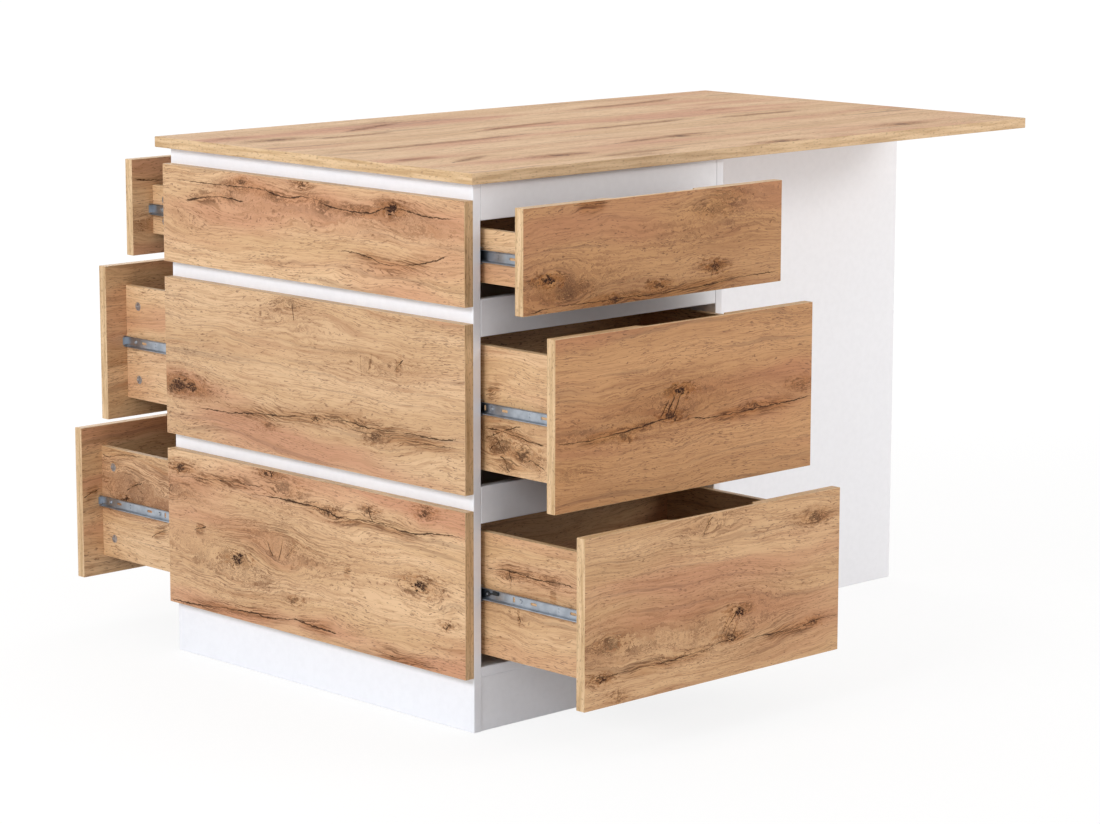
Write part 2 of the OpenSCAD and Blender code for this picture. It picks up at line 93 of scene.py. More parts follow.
def linear(colour):
    """sRGB hex to the linear colour that a shader takes."""
    parts = [int(colour[i : i + 2], 16) / 255 for i in (1, 3, 5)]
    return [c / 12.92 if c <= 0.04045 else ((c + 0.055) / 1.055) ** 2.4 for c in parts] + [1.0]


def add(tree, kind, *inputs, **settings):
    """Adds a node with its settings, and links or fills its inputs.

    Inputs come in the order in which the node shows them, or in a dict by name. A node given as an
    input stands for the first output that it shows.
    """
    node = tree.nodes.new(kind if kind.startswith("NodeGroup") else "ShaderNode" + kind)
    for name, value in settings.items():
        setattr(node, name, value)
    if inputs and isinstance(inputs[0], dict):
        pairs = [(node.inputs[name], value) for name, value in inputs[0].items()]
    else:
        pairs = zip([socket for socket in node.inputs if socket.enabled], inputs)
    for socket, value in pairs:
        if isinstance(value, bpy.types.Node):
            value = next(output for output in value.outputs if output.enabled)
        if isinstance(value, bpy.types.NodeSocket):
            tree.links.new(value, socket)
        else:
            socket.default_value = value
    return node


# A MapRange node with SMOOTH goes softly from 0 to 1, or from its third number to its fourth, as its
# value goes from the first number to the second. A Mix node with COLOURS lays one colour on another.
SMOOTH = {"interpolation_type": "SMOOTHSTEP"}
COLOURS = {"data_type": "RGBA"}


def new_material(name):
    """A material with no nodes yet, and its tree."""
    material = bpy.data.materials.new(name)
    material.use_nodes = True
    material.node_tree.nodes.clear()
    return material, material.node_tree


def finished(material, surface):
    """Gives a material its shader, whose inputs surface names."""
    tree = material.node_tree
    add(tree, "OutputMaterial", add(tree, "BsdfPrincipled", surface))
    return material


def board_axes(tree, axes, seed):
    """Distances along the grain, across it and into the board, in metres, the last moved by seed."""
    split = add(tree, "SeparateXYZ", add(tree, "TexCoord").outputs["Object"])
    along, across, depth = [split.outputs["XYZ".index(axis)] for axis in axes]
    return along, across, add(tree, "Math", depth, seed, operation="ADD")


def grain_noise(tree, place, scales, detail=2.0, roughness=0.5):
    """Noise drawn out along the grain. The scales are repeats per metre along it, across and inward."""
    drawn = add(tree, "VectorMath", add(tree, "CombineXYZ", *place), scales, operation="MULTIPLY")
    return add(tree, "TexNoise", {"Vector": drawn, "Scale": 1.0, "Detail": detail, "Roughness": roughness})


# Printed wild oak, as the worktop, the fronts and the drawer boxes have it. Growth rings run along the
# board in wandering bands of light, straw and reddish brown. Pores are short dark ticks about 5 mm long.
# Real ones are 0.3 mm wide, and are drawn twice as wide to show in a picture of the whole island.
OAK_LIGHT = "#dab58c"
OAK_STRAW = "#cda67b"
OAK_RED = "#c48e6b"
OAK_STREAK = "#a1734a"
OAK_PORE = "#6b4428"
KNOT_DARK = "#2c150b"
KNOT_STAIN = "#99633a"
KNOT_FEATHER = "#50301b"
CRACK = "#2f190b"
WAX_IOR = 1.5
CURVE_MARGIN = 30


def knot_group():
    """A branch knot: a dark core, a halo drawn out along the grain, and grain that flows round it.

    The group also takes the push, core and halo of the knot before it, and hands on both together.
    """
    group = bpy.data.node_groups.new("oak_knot", "ShaderNodeTree")
    marks = ("Push", "Core", "Halo")
    for name in ("Along", "Across", "At along", "At across", "Radius", "Depth", *marks):
        group.interface.new_socket(name, in_out="INPUT", socket_type="NodeSocketFloat")
    for name in marks:
        group.interface.new_socket(name, in_out="OUTPUT", socket_type="NodeSocketFloat")
    given = add(group, "NodeGroupInput").outputs
    radius = given["Radius"]
    darkness = given["Depth"]
    off_along = add(group, "Math", given["Along"], given["At along"], operation="SUBTRACT")
    off_across = add(group, "Math", given["Across"], given["At across"], operation="SUBTRACT")
    high = add(group, "Math", off_across, off_across, operation="MULTIPLY")

    # The core is an oval, nearly twice as long as it is high
    oval = add(group, "Math", off_along, 0.55, operation="MULTIPLY")
    square = add(group, "Math", oval, oval, high, operation="MULTIPLY_ADD")
    away = add(group, "Math", add(group, "Math", square, operation="SQRT"), radius, operation="DIVIDE")
    dark = add(group, "Math", darkness, 2.0, -1.0, operation="MULTIPLY_ADD")
    edge = add(group, "MapRange", away, 1.25, 0.8, **SMOOTH)
    core = add(group, "Math", edge, dark, operation="MULTIPLY")

    # The grain is pushed aside near the knot, the more the closer it runs
    wide = add(group, "Math", radius, radius, operation="MULTIPLY")
    reach = add(group, "Math", wide, 1.6, square, operation="MULTIPLY_ADD")
    flow = add(group, "Math", add(group, "Math", wide, 3.0, operation="MULTIPLY"), reach, operation="DIVIDE")
    aside = add(group, "Math", flow, off_across, operation="MULTIPLY")
    push = add(group, "Math", aside, darkness, given["Push"], operation="MULTIPLY_ADD")

    # The halo is over three times as long as it is high, and fades out four radii away
    tail = add(group, "Math", off_along, 0.3, operation="MULTIPLY")
    drawn_out = add(group, "Math", tail, tail, high, operation="MULTIPLY_ADD")
    far = add(group, "Math", add(group, "Math", drawn_out, operation="SQRT"), radius, operation="DIVIDE")
    fade = add(group, "MapRange", far, 4.0, 0.4, **SMOOTH)
    halo = add(group, "Math", fade, darkness, operation="MULTIPLY")
    both = {
        "Push": push,
        "Core": add(group, "Math", given["Core"], core, operation="MAXIMUM"),
        "Halo": add(group, "Math", given["Halo"], halo, operation="MAXIMUM"),
    }
    add(group, "NodeGroupOutput", both)
    return group


oak_knot = knot_group()


def crack_height(tree, along, points):
    """A crack's height on the board as a curve through its points, and how far along the crack it is.

    The curve keeps CURVE_MARGIN clear of the ends of its range, so that it is never cut off.
    """
    start, end = points[0][0], points[-1][0]
    low = min(v for u, v in points) - CURVE_MARGIN
    high = max(v for u, v in points) + CURVE_MARGIN
    run = add(tree, "MapRange", along, start * MM, end * MM)
    line = add(tree, "FloatCurve", {"Value": run})
    curve = line.mapping.curves[0]
    for i, (u, v) in enumerate(points):
        place = ((u - start) / (end - start), (v - low) / (high - low))
        if i < 2:
            curve.points[i].location = place
        else:
            curve.points.new(*place)
    line.mapping.update()
    height = add(tree, "Math", line, (high - low) * MM, low * MM, operation="MULTIPLY_ADD")
    return height, run


def tapered(tree, run, first, last):
    """1 between two places along a crack, and down to 0 at its ends."""
    rise = add(tree, "MapRange", run, 0.0, first, **SMOOTH)
    fall = add(tree, "MapRange", run, 1.0, last, **SMOOTH)
    return add(tree, "Math", rise, fall, operation="MULTIPLY")


def wild_oak(
    name, axes, knots=(), cracks=(), seed=0.0, red=0.0, veined=0.26, matt=0.42, tint="#ffffff"
):
    """Printed oak with its own knots and cracks, which are given in millimetres on the board.

    axes names the axes along the grain, across it and into the board. A knot is (along, across, radius,
    darkness), and one whose darkness is under a half is only a stain, with no core. A crack is (width,
    points), where the width is measured upright, so one that climbs steeply is given a larger width.
    red adds to the reddish bands, veined is the strength of the dark veins, matt is the roughness
    between the pores, and tint is painted shade, which darkens the whole sheet.
    """
    material, tree = new_material(name)
    along, across, depth = board_axes(tree, axes, seed)

    # The lines wander by 20 mm over half a metre, and by 4 mm from one hand's breadth to the next
    still = (along, across, depth)
    broad = grain_noise(tree, still, (2.6, 8.0, 3.0), 1.0)
    local = grain_noise(tree, still, (11.0, 30.0, 3.0))
    fine = grain_noise(tree, still, (90.0, 160.0, 3.0))
    torn = grain_noise(tree, still, (210.0, 300.0, 3.0), 2.0, 0.7)
    sway = add(tree, "Math", local, 20 * MM, across, operation="MULTIPLY_ADD")
    drawn = add(tree, "Math", broad, 60 * MM, sway, operation="MULTIPLY_ADD")

    # Marks sit where they are on the board. Cracks are ruffled by a millimetre, knots by several.
    crumple = add(tree, "Math", fine, 6 * MM, -8 * MM, operation="MULTIPLY_ADD")
    ruffle = add(tree, "Math", local, 10 * MM, crumple, operation="MULTIPLY_ADD")
    rough_across = add(tree, "Math", across, ruffle, operation="ADD")
    tear = add(tree, "Math", torn, 20 * MM, -25 * MM, operation="MULTIPLY_ADD")
    frayed = add(tree, "Math", fine, 30 * MM, tear, operation="MULTIPLY_ADD")
    knot_across = add(tree, "Math", across, frayed, operation="ADD")
    knot_along = add(tree, "Math", frayed, -1.5, along, operation="MULTIPLY_ADD")
    marks = {"Push": 0.0, "Core": 0.0, "Halo": 0.0}
    for at_along, at_across, radius, darkness in knots:
        own = {
            "Along": knot_along, "Across": knot_across, "At along": at_along * MM,
            "At across": at_across * MM, "Radius": radius * MM, "Depth": darkness,
        }
        knot = add(tree, "Group", {**own, **marks}, node_tree=oak_knot)
        marks = {key: knot.outputs[key] for key in marks}
    grain = add(tree, "Math", drawn, marks["Push"], operation="SUBTRACT")

    # Bands of tone are 60 to 90 mm high and most of a metre long. In them run smoky streaks 20 mm apart,
    # dark veins 10 mm apart, rings 3 mm apart and lines 2 mm apart. Pores crowd together in places.
    flowing = (along, grain, depth)
    band = grain_noise(tree, flowing, (1.3, 17.0, 3.0), 3.0, 0.55)
    reddish = grain_noise(tree, flowing, (1.6, 11.0, 7.0))
    rings = grain_noise(tree, flowing, (6.0, 300.0, 9.0), 3.0, 0.6)
    lines = grain_noise(tree, flowing, (22.0, 560.0, 11.0), 2.0, 0.6)
    smoke = grain_noise(tree, flowing, (3.4, 48.0, 13.0), 3.0, 0.6)
    veins = grain_noise(tree, flowing, (2.2, 95.0, 15.0))
    pores = grain_noise(tree, flowing, (95.0, 780.0, 17.0), 1.0)
    crowd = grain_noise(tree, flowing, (8.0, 24.0, 19.0))

    # The print's layers: a pattern, the values where it begins and is full, its strength and its colour
    layers = (
        (reddish, 0.46, 0.68, 0.86 + red, OAK_RED),
        (rings, 0.47, 0.62, 0.27, OAK_STREAK),
        (lines, 0.50, 0.64, 0.50, OAK_STREAK),
        (smoke, 0.55, 0.80, 0.60, KNOT_STAIN),
        (veins, 0.60, 0.70, veined, KNOT_FEATHER),
    )
    share = add(tree, "MapRange", band, 0.38, 0.62, **SMOOTH)
    colour = add(tree, "Mix", share, linear(OAK_LIGHT), linear(OAK_STRAW), **COLOURS)
    for pattern, begins, full, strength, tone in layers:
        share = add(tree, "MapRange", pattern, begins, full, 0.0, strength, **SMOOTH)
        colour = add(tree, "Mix", share, colour, linear(tone), **COLOURS)
    crowded = add(tree, "Math", crowd, 0.30, pores, operation="MULTIPLY_ADD")
    tick = add(tree, "MapRange", crowded, 0.77, 0.84, **SMOOTH)
    share = add(tree, "Math", tick, 0.68, operation="MULTIPLY")
    colour = add(tree, "Mix", share, colour, linear(OAK_PORE), **COLOURS)

    # The wood beside a crack is stained as it is round a knot. A crack is drawn a sixth narrower than
    # it is, since its soft edge makes it look wider.
    split, beside = 0.0, marks["Halo"]
    uneven = add(tree, "MapRange", local, 0.36, 0.6, 0.35, 1.1, **SMOOTH)
    for width, points in cracks:
        height, run = crack_height(tree, along, points)
        apart = add(tree, "Math", rough_across, height, operation="SUBTRACT")
        off = add(tree, "Math", apart, operation="ABSOLUTE")
        ends = tapered(tree, run, 0.06, 0.93)
        open_here = add(tree, "Math", uneven, ends, operation="MULTIPLY")
        thick = add(tree, "Math", open_here, width * MM / 2.4, operation="MULTIPLY")
        near = add(tree, "Math", thick, off, operation="SUBTRACT")
        edge = add(tree, "MapRange", near, -0.4 * MM, 0.6 * MM, **SMOOTH)
        shown = add(tree, "MapRange", ends, 0.0, 0.15, **SMOOTH)
        gap = add(tree, "Math", edge, shown, operation="MULTIPLY")
        split = add(tree, "Math", split, gap, operation="MAXIMUM")
        stain = add(tree, "MapRange", off, 24 * MM, 1 * MM, 0.0, 0.74, **SMOOTH)
        shade = add(tree, "Math", stain, tapered(tree, run, 0.3, 0.7), operation="MULTIPLY")
        beside = add(tree, "Math", beside, shade, operation="MAXIMUM")

    # The stain is brown and soft, and dark feathers of grain run through it. The cores are crumbly.
    surface = {}
    if knots or cracks:
        soft = add(tree, "MapRange", rings, 0.3, 0.66, 0.24, 0.8, **SMOOTH)
        share = add(tree, "Math", beside, soft, operation="MULTIPLY")
        colour = add(tree, "Mix", share, colour, linear(KNOT_STAIN), **COLOURS)
        feather = add(tree, "MapRange", lines, 0.46, 0.6, 0.0, 0.64, **SMOOTH)
        close = add(tree, "MapRange", beside, 0.12, 0.7, **SMOOTH)
        share = add(tree, "Math", feather, close, operation="MULTIPLY")
        colour = add(tree, "Mix", share, colour, linear(KNOT_FEATHER), **COLOURS)
    if cracks:
        share = add(tree, "Math", split, 0.9, operation="MULTIPLY")
        colour = add(tree, "Mix", share, colour, linear(CRACK), **COLOURS)
    if knots:
        crumbly = add(tree, "MapRange", torn, 0.36, 0.52, 0.35, 1.0, **SMOOTH)
        share = add(tree, "Math", marks["Core"], crumbly, operation="MULTIPLY")
        colour = add(tree, "Mix", share, colour, linear(KNOT_DARK), **COLOURS)

    # The tint is painted shade, which darkens the whole sheet
    surface["Base Color"] = add(tree, "Mix", 1.0, colour, linear(tint), blend_type="MULTIPLY", **COLOURS)

    # The press plate leaves the pores 0.05 mm deep and a little duller. Knots and cracks have no gloss.
    worn = add(tree, "Math", lines, 0.10, matt, operation="MULTIPLY_ADD")
    surface["Roughness"] = add(tree, "Math", tick, 0.12, worn, operation="MULTIPLY_ADD")
    surface["IOR"] = WAX_IOR
    if knots or cracks:
        bare = add(tree, "Math", split, marks["Core"], operation="MAXIMUM")
        dull = add(tree, "Math", bare, beside, operation="MAXIMUM")
        surface["Specular IOR Level"] = add(tree, "MapRange", dull, 0.0, 1.0, 0.5, 0.1, **SMOOTH)
    ribs = add(tree, "Math", lines, 0.4, operation="MULTIPLY")
    relief = add(tree, "Math", ribs, tick, operation="SUBTRACT")
    surface["Normal"] = add(tree, "Bump", {"Height": relief, "Strength": 0.35, "Distance": 0.2 * MM})
    return finished(material, surface)


# Edge band: ABS strip printed with oak, a shade yellower than the board, with ticks along the strip
BAND_LIGHT = "#d8b78e"
BAND_DARK = "#b69266"
BAND_TICK = "#6f4d2b"
ABS_IOR = 1.53


def oak_band(name, axes):
    material, tree = new_material(name)
    place = board_axes(tree, axes, 0.0)
    broad = grain_noise(tree, place, (9.0, 140.0, 140.0), 3.0, 0.6)
    lines = grain_noise(tree, place, (26.0, 700.0, 700.0), 2.0, 0.6)
    ticks = grain_noise(tree, place, (150.0, 560.0, 560.0), 1.0)
    share = add(tree, "MapRange", broad, 0.35, 0.68, **SMOOTH)
    colour = add(tree, "Mix", share, linear(BAND_LIGHT), linear(BAND_DARK), **COLOURS)
    share = add(tree, "MapRange", lines, 0.45, 0.8, 0.0, 0.35, **SMOOTH)
    colour = add(tree, "Mix", share, colour, linear(BAND_DARK), **COLOURS)
    tick = add(tree, "MapRange", ticks, 0.58, 0.70, **SMOOTH)
    share = add(tree, "Math", tick, 0.5, operation="MULTIPLY")
    colour = add(tree, "Mix", share, colour, linear(BAND_TICK), **COLOURS)
    bump = add(tree, "Bump", {"Height": tick, "Strength": 0.3, "Distance": -0.2 * MM})
    return finished(
        material, {"Base Color": colour, "IOR": ABS_IOR, "Roughness": 0.48, "Normal": bump}
    )


# Meshes come from the CAD nodes. Points closer than WELD are one point, and faces that meet at less
# than FLAT are one face. An edge is eased where its faces meet at more than SHARP, in radians, and it is
# longer than SHORTEST, which leaves out the round holes.
WELD = 0.002 * MM
FLAT = math.radians(0.5)
SHARP = 0.6
SHORTEST = 4 * MM
SAME_PLACE = 0.01 * MM
ARRIS = 0.6 * MM


def stripped(node):
    """A CAD node's solid as clean faces: welded, with its flat faces whole again."""
    form = bmesh.new()
    form.from_mesh(frame["nodes"][node].data)
    bmesh.ops.remove_doubles(form, verts=form.verts, dist=WELD)
    bmesh.ops.dissolve_limit(form, angle_limit=FLAT, verts=form.verts, edges=form.edges)
    return form


def ease(form, edges, arris):
    """Rounds edges off, as sandpaper or an edge scraper does."""
    bmesh.ops.bevel(
        form, geom=edges, offset=arris, segments=2, profile=0.5, affect="EDGES", clamp_overlap=True
    )


def body_of(node):
    return frame["nodes"][node].parent.name.split(":", 1)[1]


def finish_piece(form, node, materials):
    """Makes the mesh an object that rides where the CAD node does, and stands for it."""
    name = node + "_dressed"
    mesh = bpy.data.meshes.new(name)
    form.to_mesh(mesh)
    form.free()
    for material in materials:
        mesh.materials.append(material)
    piece = bpy.data.objects.new(name, mesh)
    bpy.context.scene.collection.objects.link(piece)
    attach(piece, body_of(node))
    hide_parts(node)
    return piece


def board(node, thin, faces, bands, arris=ARRIS):
    """A board from its CAD node, with the edges of its block eased.

    thin is the axis of the board's thickness. faces is the decor's material. bands gives the material
    of the edges that face along each axis.
    """
    form = stripped(node)
    low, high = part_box(node)

    def on_sides(vert):
        return [any(abs(vert.co[a] - c[a]) < SAME_PLACE for c in (low, high)) for a in range(3)]

    def on_block(edge):
        first, second = [on_sides(vert) for vert in edge.verts]
        return sum(a and b for a, b in zip(first, second)) >= 2

    outer = [
        edge for edge in form.edges
        if edge.is_manifold and edge.calc_face_angle(0) > SHARP and edge.calc_length() > SHORTEST
        and on_block(edge)
    ]
    ease(form, outer, arris)
    thin_axis = "XYZ".index(thin)
    banded = [axis for axis in "XYZ" if axis in bands]
    slots = {"XYZ".index(axis): 1 + place for place, axis in enumerate(banded)}
    for face in form.faces:
        face.smooth = False
        steepness = [abs(part) for part in face.normal]
        if steepness[thin_axis] > 0.95:
            face.material_index = 0
        else:
            steepness[thin_axis] = 0
            face.material_index = slots.get(steepness.index(max(steepness)), 0)
    return finish_piece(form, node, [faces] + [bands[axis] for axis in banded])


worktop_oak = wild_oak(
    "oak_laminate_of_the_worktop",
    "XYZ",
    knots=[
        (-571, 212, 10, 0.8), (-622, 283, 8, 0.5), (-390, -295, 9, 0.8), (-241, 315, 8, 0.4),
        (42, -384, 8, 0.9), (425, -325, 9, 0.8), (393, 97, 6, 0.5), (-19, -207, 7, 0.8),
        (-278, -375, 8, 0.5),
    ],
    cracks=[
        (3.4, [(-411, 229), (-336, 258), (-258, 286), (-197, 307)]),
        (2.6, [(-660, -24), (-600, -8), (-539, -22), (-440, -20), (-305, -12), (-146, 7)]),
        (2.2, [(-660, -183), (-600, -181), (-540, -179)]),
        (3.0, [(-602, -263), (-537, -240), (-473, -215)]),
        (3.0, [(-247, 77), (-164, 98), (-51, 119), (48, 130)]),
        (3.2, [(-220, -230), (-94, -209), (44, -194), (108, -205)]),
        (2.6, [(158, 272), (270, 280), (384, 288), (550, 330)]),
        (2.8, [(-121, -16), (7, -11), (138, -5), (260, 13)]),
        (2.2, [(-539, 182), (-433, 177), (-311, 186)]),
        (2.6, [(-386, -360), (-260, -349), (-142, -348)]),
        (2.2, [(250, -20), (395, -19), (520, -25)]),
    ],
    seed=3.1,
    red=0.15,
    veined=0.46,
    matt=0.6,
)
band_along_x = oak_band("oak_abs_band_along_x", "XYZ")
band_along_y = oak_band("oak_abs_band_along_y", "YXZ")
band_along_z = oak_band("oak_abs_band_upright", "ZXY")

board("worktop", "Z", worktop_oak, {"X": band_along_y, "Y": band_along_x}, arris=0.2 * MM)

form = stripped("worktop_edge_band")
low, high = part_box("worktop_edge_band")


def on_outside(vert):
    return any(abs(vert.co[a] - c[a]) < SAME_PLACE for c in (low, high) for a in (0, 1))


outer = [
    edge for edge in form.edges
    if edge.is_manifold and edge.calc_face_angle(0) > SHARP and all(map(on_outside, edge.verts))
    and abs(edge.verts[0].co.z - edge.verts[1].co.z) < SAME_PLACE
]
ease(form, outer, ARRIS)
for face in form.faces:
    face.material_index = 1 if abs(face.normal.x) > abs(face.normal.y) else 0
finish_piece(form, "worktop_edge_band", [band_along_x, band_along_y])

# ------------------------------------------------------------------ white carcass and support panel
# 16 mm particle boards faced with white melamine, whose press plate leaves a fine pearl that breaks up
# highlights. Their edges have a white plastic band, a touch greyer than the faces. Cams hold them.

MELAMINE_WHITE = "#edeef3"
MELAMINE_SHADE = "#eaebf0"
BAND_WHITE = "#e7e8ee"
MELAMINE_IOR = 1.5
PEARL_SIZE = 1.2 * MM
WHITE_ARRIS = 1.3 * MM


def white_melamine(name, tone, grain):
    """White press-plate surface with pearls of the given size, in clouds of tone 11 mm across."""
    material, tree = new_material(name)
    place = add(tree, "TexCoord").outputs["Object"]
    cloud = add(tree, "TexNoise", {"Vector": place, "Scale": 90.0, "Detail": 3.0})
    pearl = add(tree, "TexNoise", {"Vector": place, "Scale": 1 / grain, "Detail": 1.0})
    share = add(tree, "MapRange", cloud, 0.3, 0.75, **SMOOTH)
    colour = add(tree, "Mix", share, linear(tone), linear(MELAMINE_SHADE), **COLOURS)
    rough = add(tree, "Math", pearl, 0.12, 0.34, operation="MULTIPLY_ADD")
    bump = add(tree, "Bump", {"Height": pearl, "Strength": 0.25, "Distance": 0.1 * MM})
    return finished(
        material, {"Base Color": colour, "Roughness": rough, "IOR": MELAMINE_IOR, "Normal": bump}
    )


melamine = white_melamine("white_melamine_pearl", MELAMINE_WHITE, PEARL_SIZE)
white_band = white_melamine("white_abs_band", BAND_WHITE, 2 * PEARL_SIZE)

for node, thin in (
    ("end_panel", "X"), ("inner_side_panel", "X"), ("centre_panel", "Y"), ("bottom_board", "Z"),
    ("top_rails", "Y"), ("middle_rails", "Y"), ("plinth_boards", "Y"), ("support_panel", "Y"),
):
    bands = {axis: white_band for axis in "XYZ" if axis != thin}
    board(node, thin, melamine, bands, arris=WHITE_ARRIS)

# ------------------------------------------------------------------ false fronts
# Three 18 mm boards in wild oak, screwed from inside onto the end panel. Each has its own knots and
# cracks, and a plastic band on its four edges.

FALSE_FRONTS = {
    "false_front_bottom": {
        "knots": [
            (345, 333, 6, 0.95), (360, 293, 11, 0.6), (100, 359, 6, 0.95), (66, 338, 10, 0.7),
            (-49, 314, 5, 0.9), (-150, 331, 4, 0.85), (-285, 348, 5, 0.85), (193, 195, 8, 1.0),
            (200, 172, 24, 0.48), (86, 236, 28, 0.49), (330, 205, 16, 0.3), (-275, 227, 8, 1.0),
            (42, 148, 4, 0.8), (-338, 171, 3, 0.95),
        ],
        "cracks": [
            (3.0, [(-381, 321), (-305, 317), (-247, 310), (-159, 313), (-79, 308), (-39, 315), (53, 319),
                   (117, 315), (150, 314)]),
            (1.8, [(116, 329), (159, 329), (223, 326), (289, 320), (356, 316)]),
            (2.4, [(15, 120), (68, 112), (110, 108), (153, 110), (196, 106), (262, 100), (386, 94)]),
            (2.4, [(-67, 112), (-26, 113), (16, 115), (49, 118)]),
            (2.4, [(-318, 96), (-284, 96), (-236, 97), (-147, 99)]),
            (2.4, [(277, 239), (294, 233), (311, 227)]),
            (2.0, [(-106, 224), (-91, 218), (-81, 218)]),
            (6.0, [(70, 250), (75, 232), (83, 212)]),
            (4.2, [(97, 216), (105, 227), (112, 240)]),
            (3.0, [(31, 247), (45, 235), (63, 219)]),
            (6.0, [(-159, 313), (-151, 325), (-147, 335)]),
        ],
        "seed": 1.3,
        "red": 0.14,
    },
    "false_front_middle": {
        "knots": [
            (346, 478, 10, 0.95), (312, 477, 8, 0.95), (360, 470, 7, 0.8), (-19, 465, 4, 0.95),
            (-117, 473, 4, 0.8), (-166, 456, 6, 0.75), (104, 439, 4, 0.75), (45, 648, 7, 0.6),
            (45, 620, 16, 0.3), (-145, 570, 14, 0.35), (-225, 578, 10, 0.3),
        ],
        "cracks": [
            (2.4, [(-381, 479), (-311, 473), (-239, 470), (-178, 468), (-79, 471), (-19, 465), (61, 460),
                   (120, 455), (221, 447), (309, 446)]),
            (1.8, [(-381, 462), (-275, 460), (-178, 458), (-100, 462)]),
            (10.0, [(-134, 550), (-130, 586)]),
            (4.2, [(-161, 590), (-156, 573), (-149, 560)]),
            (3.5, [(-236, 590), (-225, 579), (-213, 567)]),
            (9.0, [(35, 620), (40, 650)]),
        ],
        "seed": 2.6,
        "red": 0.1,
        # This tint is painted shade, which darkens the middle false front a little.
        "tint": "#f6f5f5",
    },
    "false_front_top": {
        "knots": [
            (168, 840, 5, 0.85), (9, 849, 4, 0.9), (-53, 818, 8, 0.6), (-210, 829, 7, 1.0),
            (-240, 812, 20, 0.4), (74, 822, 4, 0.6), (330, 765, 22, 0.25), (-60, 800, 24, 0.25),
            (190, 815, 26, 0.3),
        ],
        "cracks": [
            (3.4, [(160, 809), (212, 811), (266, 806), (320, 799)]),
            (2.4, [(-377, 825), (-313, 824), (-206, 830), (-152, 818), (-59, 820), (3, 829), (55, 826),
                   (113, 832), (225, 831), (361, 830)]),
            (2.8, [(-344, 766), (-295, 752), (-253, 743), (-205, 737), (-139, 748), (-83, 750)]),
        ],
        "seed": 0.0,
    },
}
for node, marks in FALSE_FRONTS.items():
    oak = wild_oak("wild_oak_laminate_" + node, "YZX", **marks)
    board(node, "X", oak, {"Y": band_along_z, "Z": band_along_y})

# ------------------------------------------------------------------ drawer fronts
# 18 mm boards in the same oak, held to the box's sides by cam bolts. A 200 mm finger grip is milled
# into the back of the top edge, and there the chips of the particle board show.

CHIP_LIGHT = "#c9a574"
CHIP_DARK = "#8b6a43"
CHIP_SIZE = 2.5 * MM


def particle_board():
    """Bare milled core: pressed chips of 2 to 3 mm, in straw and brown, rough and open."""
    material, tree = new_material("milled_particle_board")
    place = add(tree, "TexCoord").outputs["Object"]
    chips = add(tree, "TexVoronoi", {"Vector": place, "Scale": 1 / CHIP_SIZE})
    tone = add(tree, "SeparateColor", chips.outputs["Color"])
    colour = add(tree, "Mix", tone, linear(CHIP_LIGHT), linear(CHIP_DARK), **COLOURS)
    bump = add(tree, "Bump", {"Height": chips, "Strength": 0.6, "Distance": 0.4 * MM})
    return finished(material, {"Base Color": colour, "Roughness": 0.85, "Normal": bump})


milled_core = particle_board()
